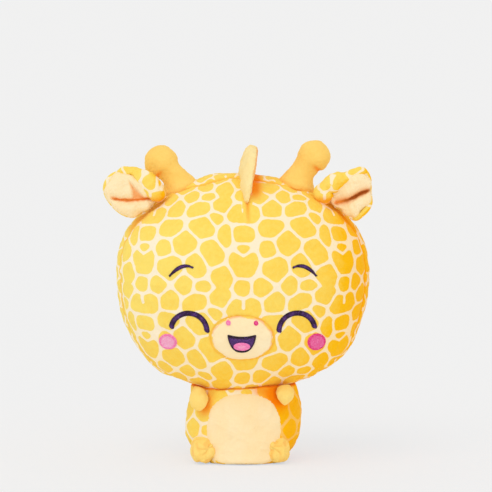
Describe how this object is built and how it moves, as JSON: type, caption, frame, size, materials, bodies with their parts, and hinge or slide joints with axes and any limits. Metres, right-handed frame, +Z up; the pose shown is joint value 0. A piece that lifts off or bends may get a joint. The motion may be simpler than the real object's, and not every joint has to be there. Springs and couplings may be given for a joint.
{
  "type": "plush giraffe",
  "caption": "Small stuffed giraffe with a wide round head, folded ears, knobbed horns and a mane fin, standing on a flat weighted base",
  "frame": {"origin": "middle of the flat base, on the surface that the toy stands on", "axes": "+Z up, the giraffe looks along -Y, its own left side is at +X"},
  "size_m": [0.203, 0.1296, 0.2381],
  "materials": {
    "print_plush": "matte",
    "plain_plush": "matte",
    "horn_plush": "matte",
    "mane_plush": "matte",
    "limb_plush": "matte",
    "filling_fibre": "matte",
    "pellet_cloth": "matte",
    "navy_thread": "satin",
    "pink_thread": "satin",
    "pale_pink_thread": "satin",
    "cream_thread": "satin"
  },
  "bodies": {
    "torso": {"base_panel": "plain_plush", "tummy_panel": "plain_plush", "body_left_panel": "print_plush", "body_right_panel": "print_plush", "body_filling": "filling_fibre", "pellet_bag": "pellet_cloth", "foot_left": "limb_plush", "foot_right": "limb_plush"},
    "neck_ring": {"neck_thread_ring": "cream_thread"},
    "neck": {"neck_filling": "filling_fibre"},
    "head": {"head_front_panel": "print_plush", "head_back_left_panel": "print_plush", "head_back_right_panel": "print_plush", "head_filling": "filling_fibre", "muzzle_patch": "plain_plush", "eye_left": "navy_thread", "eye_right": "navy_thread", "brow_left": "navy_thread", "brow_right": "navy_thread", "cheek_left": "pink_thread", "cheek_right": "pale_pink_thread", "nostril_left": "pink_thread", "nostril_right": "pink_thread", "mouth": "navy_thread", "tongue": "pink_thread", "mane": "mane_plush"},
    "horn_left_body": {"horn_left": "horn_plush"},
    "horn_right_body": {"horn_right": "horn_plush"},
    "ear_left_body": {"ear_left_outer": "print_plush", "ear_left_lining": "plain_plush"},
    "ear_right_body": {"ear_right_outer": "print_plush", "ear_right_lining": "plain_plush"},
    "arm_left_body": {"arm_left": "limb_plush"},
    "arm_right_body": {"arm_right": "limb_plush"},
    "tail_body": {"tail_cord": "print_plush", "tail_tuft": "mane_plush"}
  },
  "joints": [
    {"name": "neck_turn", "type": "hinge", "parent": "torso", "child": "neck_ring", "pos_m": [0, 0, 0.0506], "axis": [0, 0, 1], "range_deg": [-12, 12], "stiffness_Nm_per_rad": 1.2},
    {"name": "neck_lean", "type": "hinge", "parent": "neck_ring", "child": "neck", "pos_m": [0, 0, 0.0506], "axis": [0, 1, 0], "range_deg": [-5, 5], "stiffness_Nm_per_rad": 1.5},
    {"name": "head_nod", "type": "hinge", "parent": "neck", "child": "head", "pos_m": [0, 0, 0.0506], "axis": [1, 0, 0], "range_deg": [-5, 5], "stiffness_Nm_per_rad": 1.5},
    {"name": "horn_left_bend", "type": "hinge", "parent": "head", "child": "horn_left_body", "pos_m": [0.043, 0.002, 0.20663], "axis": [1, 0, 0], "range_deg": [-10, 10], "stiffness_Nm_per_rad": 0.02},
    {"name": "horn_right_bend", "type": "hinge", "parent": "head", "child": "horn_right_body", "pos_m": [-0.043, 0.002, 0.20663], "axis": [1, 0, 0], "range_deg": [-10, 10], "stiffness_Nm_per_rad": 0.02},
    {"name": "ear_left_flap", "type": "hinge", "parent": "head", "child": "ear_left_body", "pos_m": [0.06477, -0.012, 0.194], "axis": [0.8126, 0, -0.5828], "range_deg": [-20, 25], "stiffness_Nm_per_rad": 0.01},
    {"name": "ear_right_flap", "type": "hinge", "parent": "head", "child": "ear_right_body", "pos_m": [-0.06477, -0.012, 0.194], "axis": [0.8126, 0, 0.5828], "range_deg": [-20, 25], "stiffness_Nm_per_rad": 0.01},
    {"name": "arm_left_swing", "type": "hinge", "parent": "torso", "child": "arm_left_body", "pos_m": [0.0335, -0.025, 0.0493], "axis": [-1, 0, 0], "range_deg": [-35, 0], "stiffness_Nm_per_rad": 0.01},
    {"name": "arm_right_swing", "type": "hinge", "parent": "torso", "child": "arm_right_body", "pos_m": [-0.0335, -0.025, 0.0493], "axis": [-1, 0, 0], "range_deg": [0, 35], "stiffness_Nm_per_rad": 0.01},
    {"name": "tail_wag", "type": "hinge", "parent": "torso", "child": "tail_body", "pos_m": [0, 0.033, 0.034], "axis": [0, 1, 0], "range_deg": [-40, 40], "stiffness_Nm_per_rad": 0.01}
  ]
}
